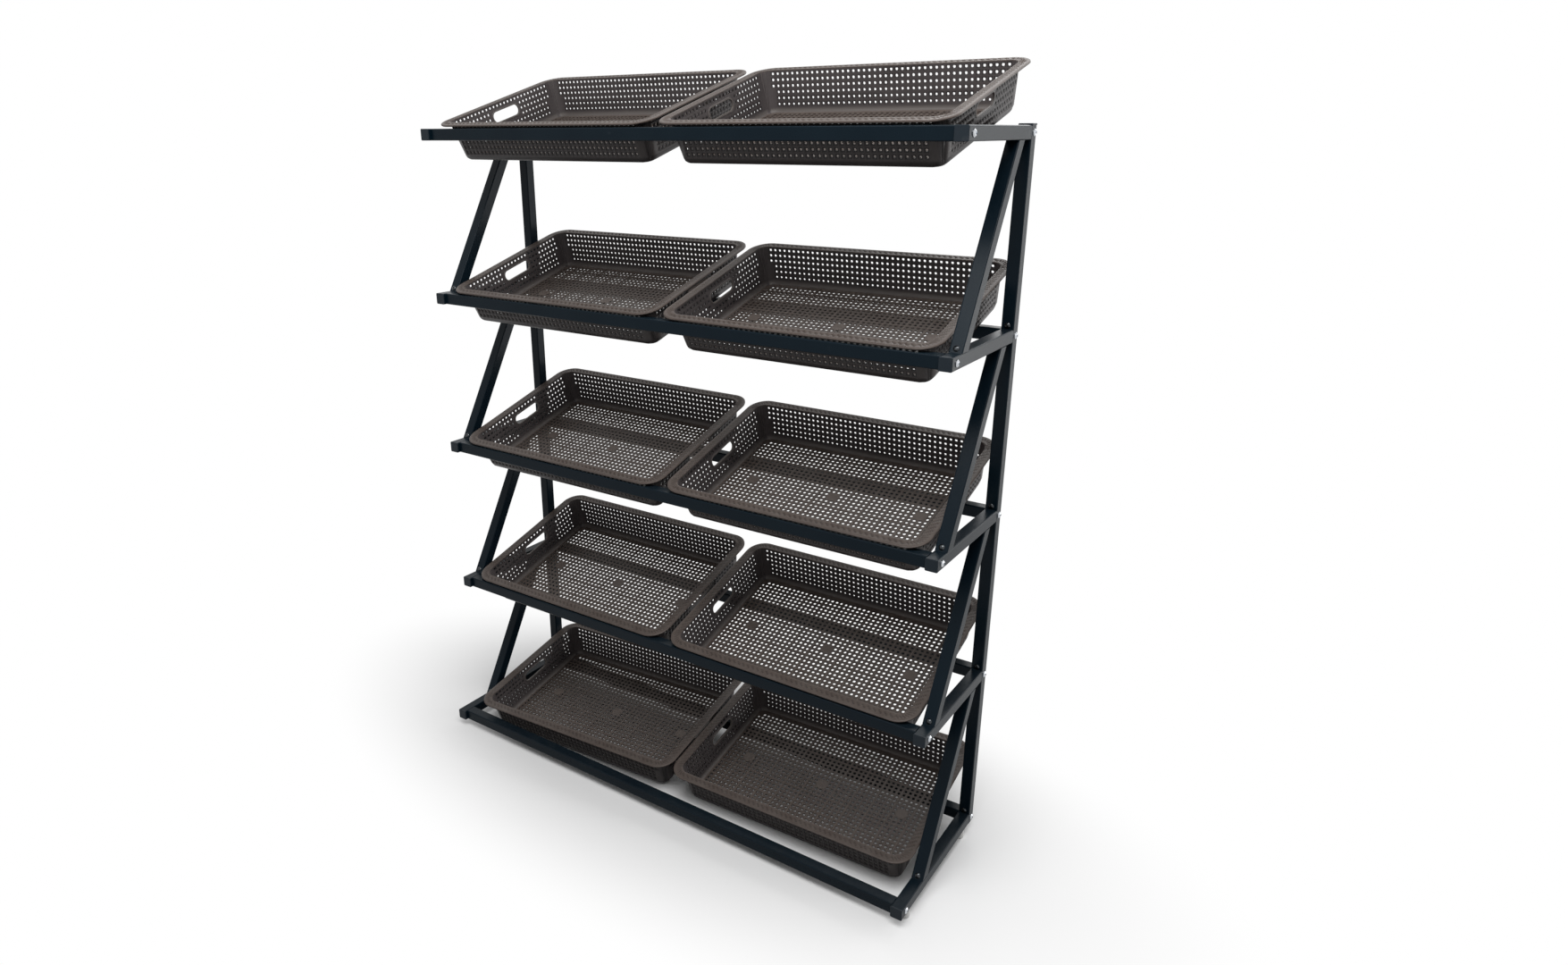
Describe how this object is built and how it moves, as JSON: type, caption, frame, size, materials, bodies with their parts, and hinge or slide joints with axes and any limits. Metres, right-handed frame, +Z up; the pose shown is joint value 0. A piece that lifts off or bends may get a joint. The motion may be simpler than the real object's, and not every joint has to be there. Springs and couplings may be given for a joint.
{
  "type": "produce display rack",
  "caption": "Free-standing stepped rack of black square steel tube, with raked tiers of perforated plastic baskets that lift out, for displaying fruit and vegetables.",
  "frame": {"origin": "on the floor, at the centre of the rack's footprint box", "axes": "+X to the right of a shopper who faces the rack, +Y to the back, +Z up"},
  "size_m": [1.2882, 0.4644, 1.6245],
  "materials": {
    "frame_coat": "satin black powder coat on steel tube",
    "basket_plastic": "dark brown moulded plastic with a woven texture",
    "black_plastic": "moulded black plastic",
    "white_plastic": "moulded white plastic",
    "zinc_plate": "bright zinc plated steel",
    "bare_steel": "plain steel, hidden in the joints"
  },
  "bodies": {
    "frame": {"arm_end_plugs": "black_plastic", "feet": "white_plastic", "front_rail_1": "frame_coat", "front_rail_2": "frame_coat", "front_rail_3": "frame_coat", "front_rail_4": "frame_coat", "front_rail_5": "frame_coat", "front_rail_bolts": "zinc_plate", "left_arm_1": "frame_coat", "left_arm_2": "frame_coat", "left_arm_3": "frame_coat", "left_arm_4": "frame_coat", "left_arm_5": "frame_coat", "left_post_1": "frame_coat", "left_post_2": "frame_coat", "left_post_3": "frame_coat", "left_post_4": "frame_coat", "left_post_base": "frame_coat", "left_strut_1": "frame_coat", "left_strut_2": "frame_coat", "left_strut_3": "frame_coat", "left_strut_4": "frame_coat", "post_caps": "black_plastic", "post_screws": "zinc_plate", "post_spigots": "bare_steel", "rail_inserts": "bare_steel", "rear_rail_1": "frame_coat", "rear_rail_2": "frame_coat", "rear_rail_3": "frame_coat", "rear_rail_4": "frame_coat", "rear_rail_5": "frame_coat", "rear_rail_bolts": "zinc_plate", "right_arm_1": "frame_coat", "right_arm_2": "frame_coat", "right_arm_3": "frame_coat", "right_arm_4": "frame_coat", "right_arm_5": "frame_coat", "right_post_1": "frame_coat", "right_post_2": "frame_coat", "right_post_3": "frame_coat", "right_post_4": "frame_coat", "right_post_base": "frame_coat", "right_strut_1": "frame_coat", "right_strut_2": "frame_coat", "right_strut_3": "frame_coat", "right_strut_4": "frame_coat", "strut_lugs": "bare_steel", "strut_screws": "zinc_plate"},
    "left_basket_1": {"left_basket_1": "basket_plastic"},
    "left_basket_2": {"left_basket_2": "basket_plastic"},
    "left_basket_3": {"left_basket_3": "basket_plastic"},
    "left_basket_4": {"left_basket_4": "basket_plastic"},
    "left_basket_5": {"left_basket_5": "basket_plastic"},
    "right_basket_1": {"right_basket_1": "basket_plastic"},
    "right_basket_2": {"right_basket_2": "basket_plastic"},
    "right_basket_3": {"right_basket_3": "basket_plastic"},
    "right_basket_4": {"right_basket_4": "basket_plastic"},
    "right_basket_5": {"right_basket_5": "basket_plastic"}
  },
  "joints": [
    {"name": "left_basket_1_lift", "type": "slide", "parent": "frame", "child": "left_basket_1", "axis": [0, 0, 1], "range_m": [0, 0.15]},
    {"name": "left_basket_2_lift", "type": "slide", "parent": "frame", "child": "left_basket_2", "axis": [0, 0, 1], "range_m": [0, 0.15]},
    {"name": "left_basket_3_lift", "type": "slide", "parent": "frame", "child": "left_basket_3", "axis": [0, 0, 1], "range_m": [0, 0.15]},
    {"name": "left_basket_4_lift", "type": "slide", "parent": "frame", "child": "left_basket_4", "axis": [0, 0, 1], "range_m": [0, 0.15]},
    {"name": "left_basket_5_lift", "type": "slide", "parent": "frame", "child": "left_basket_5", "axis": [0, 0, 1], "range_m": [0, 0.15]},
    {"name": "right_basket_1_lift", "type": "slide", "parent": "frame", "child": "right_basket_1", "axis": [0, 0, 1], "range_m": [0, 0.15]},
    {"name": "right_basket_2_lift", "type": "slide", "parent": "frame", "child": "right_basket_2", "axis": [0, 0, 1], "range_m": [0, 0.15]},
    {"name": "right_basket_3_lift", "type": "slide", "parent": "frame", "child": "right_basket_3", "axis": [0, 0, 1], "range_m": [0, 0.15]},
    {"name": "right_basket_4_lift", "type": "slide", "parent": "frame", "child": "right_basket_4", "axis": [0, 0, 1], "range_m": [0, 0.15]},
    {"name": "right_basket_5_lift", "type": "slide", "parent": "frame", "child": "right_basket_5", "axis": [0, 0, 1], "range_m": [0, 0.15]}
  ]
}
